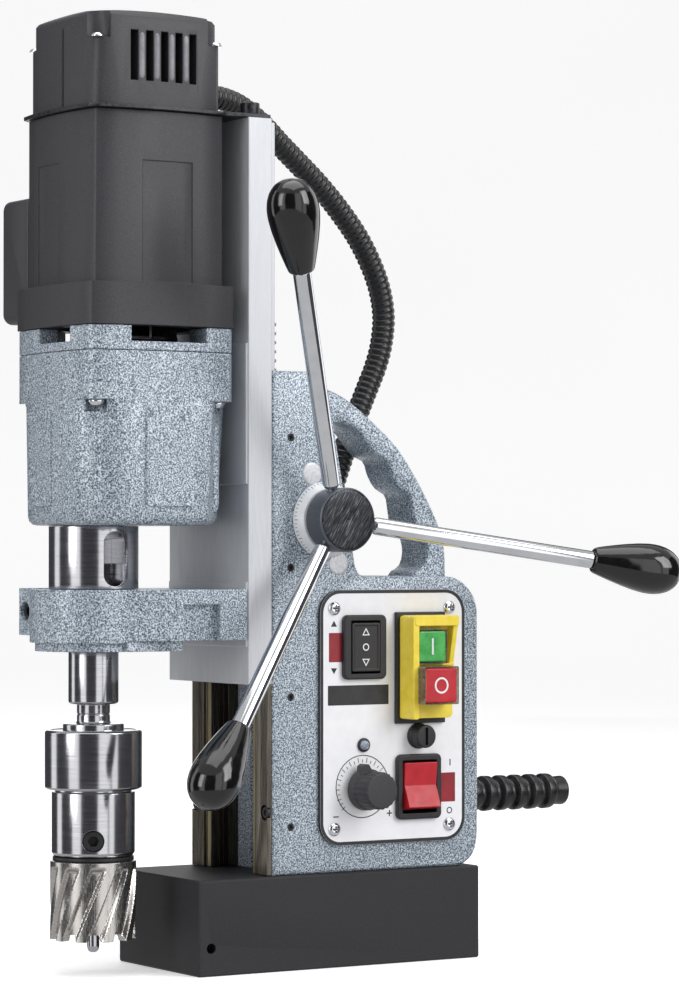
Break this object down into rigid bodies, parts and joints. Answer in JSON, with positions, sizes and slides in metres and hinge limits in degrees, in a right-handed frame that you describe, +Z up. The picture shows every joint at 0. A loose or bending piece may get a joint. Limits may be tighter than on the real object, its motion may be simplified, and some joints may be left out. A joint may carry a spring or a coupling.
{
  "type": "magnetic drill press",
  "caption": "Portable magnetic drill press: electromagnet foot, cast column with lever feed, sliding motor and gearbox head, and an annular cutter in its arbor.",
  "frame": {"origin": "centre of the magnet's underside", "axes": "+Z up along the slide's travel; the drill stands towards -Y; control panel and feed levers towards +X"},
  "size_m": [0.1865, 0.3196, 0.4825],
  "materials": {
    "hammertone_casting": "satin",
    "magnet_black": "matte",
    "black_plastic": "matte",
    "black_gloss": "gloss",
    "black_steel": "satin",
    "machined_steel": "satin",
    "chrome": "polished",
    "anodised": "satin",
    "brass": "satin",
    "copper_winding": "satin",
    "resin": "satin",
    "yellow_plastic": "satin",
    "green_plastic": "satin",
    "red_plastic": "satin",
    "panel_paint": "satin",
    "scale_ring": "satin",
    "circuit_green": "matte",
    "rubber": "matte",
    "lens": "gloss"
  },
  "bodies": {
    "base": {"magnet_body": "magnet_black", "magnet_coil": "copper_winding", "magnet_potting": "resin", "housing": "hammertone_casting", "guide_rail_right": "machined_steel", "guide_rail_left": "machined_steel", "gib_strip": "brass", "pinion_bush_right": "brass", "pinion_bush_left": "brass", "control_panel": "panel_paint", "panel_screw_1": "chrome", "panel_screw_2": "chrome", "panel_screw_3": "chrome", "panel_screw_4": "chrome", "rotation_switch": "black_plastic", "magnet_switch": "black_plastic", "safety_switch_base": "black_plastic", "safety_switch_cover": "yellow_plastic", "fuse_holder": "black_plastic", "led_lens": "lens", "speed_pot": "machined_steel", "circuit_board": "circuit_green", "cable_boot": "rubber", "conduit": "rubber", "conduit_gland_lower": "rubber"},
    "rotation_rocker": {"rotation_rocker": "black_plastic"},
    "magnet_rocker": {"magnet_rocker": "red_plastic"},
    "start_button": {"start_button": "green_plastic"},
    "stop_button": {"stop_button": "red_plastic"},
    "speed_knob": {"speed_knob": "black_plastic"},
    "feed_hub": {"pinion_shaft": "machined_steel", "feed_hub": "black_steel", "lever_rod_1": "chrome", "lever_rod_2": "chrome", "lever_rod_3": "chrome", "lever_knob_1": "black_gloss", "lever_knob_2": "black_gloss", "lever_knob_3": "black_gloss"},
    "scale_ring": {"scale_ring": "scale_ring"},
    "carriage": {"slide": "anodised", "rack": "machined_steel", "bracket": "hammertone_casting", "clamp_screw": "black_steel", "spindle_bearing": "machined_steel", "gearbox_casing": "hammertone_casting", "gearbox_cover": "hammertone_casting", "motor_housing": "black_plastic", "top_plate": "black_steel", "motor_cap": "black_plastic", "side_box": "black_plastic", "stator": "copper_winding", "conduit_gland_upper": "rubber"},
    "armature": {"armature": "machined_steel"},
    "intermediate_gear": {"intermediate_gear": "machined_steel"},
    "spindle": {"spindle": "machined_steel", "arbor": "machined_steel", "set_screw": "black_steel", "cutter": "machined_steel", "pilot_spring": "machined_steel"},
    "pilot_pin": {"pilot_pin": "machined_steel"}
  },
  "joints": [
    {"name": "carriage_feed", "type": "slide", "parent": "base", "child": "carriage", "axis": [0, 0, 1], "range_m": [-0.094, 0.066], "deforming": ["conduit"]},
    {"name": "feed_hub_turn", "type": "hinge", "parent": "base", "child": "feed_hub", "pos_m": [0, -0.0086, 0.228], "axis": [1, 0, 0], "range_deg": [-362, 515]},
    {"name": "scale_ring_turn", "type": "hinge", "parent": "feed_hub", "child": "scale_ring", "pos_m": [0.042, -0.0086, 0.228], "axis": [1, 0, 0], "continuous": true},
    {"name": "spindle_turn", "type": "hinge", "parent": "carriage", "child": "spindle", "pos_m": [0, -0.1213, 0.15], "axis": [0, 0, 1], "continuous": true},
    {"name": "intermediate_turn", "type": "hinge", "parent": "carriage", "child": "intermediate_gear", "pos_m": [0.01793, -0.10989, 0.28], "axis": [0, 0, 1], "continuous": true},
    {"name": "armature_turn", "type": "hinge", "parent": "carriage", "child": "armature", "pos_m": [0, -0.1036, 0.37], "axis": [0, 0, 1], "continuous": true},
    {"name": "pilot_slide", "type": "slide", "parent": "spindle", "child": "pilot_pin", "axis": [0, 0, 1], "range_m": [0, 0.035], "stiffness_N_per_m": 200, "springref_m": -0.01, "deforming": ["pilot_spring"]},
    {"name": "rotation_rocker_tilt", "type": "hinge", "parent": "base", "child": "rotation_rocker", "pos_m": [0.04, 0.0128, 0.163], "axis": [0, 1, 0], "range_deg": [-9, 9]},
    {"name": "magnet_rocker_tilt", "type": "hinge", "parent": "base", "child": "magnet_rocker", "pos_m": [0.04, 0.0459, 0.0905], "axis": [0, 1, 0], "range_deg": [0, 18]},
    {"name": "start_button_press", "type": "slide", "parent": "base", "child": "start_button", "axis": [-1, 0, 0], "range_m": [0, 0.003], "stiffness_N_per_m": 600, "springref_m": -0.001},
    {"name": "stop_button_press", "type": "slide", "parent": "base", "child": "stop_button", "axis": [-1, 0, 0], "range_m": [0, 0.003], "stiffness_N_per_m": 600, "springref_m": -0.001},
    {"name": "speed_knob_turn", "type": "hinge", "parent": "base", "child": "speed_knob", "pos_m": [0.05, 0.0126, 0.0903], "axis": [1, 0, 0], "range_deg": [-150, 120]}
  ],
  "couplings": [
    {"joint": "feed_hub_turn", "follows": "carriage_feed", "rad_per_m": -95.238},
    {"joint": "intermediate_turn", "follows": "spindle_turn", "ratio": -2.4},
    {"joint": "armature_turn", "follows": "spindle_turn", "ratio": 9}
  ]
}
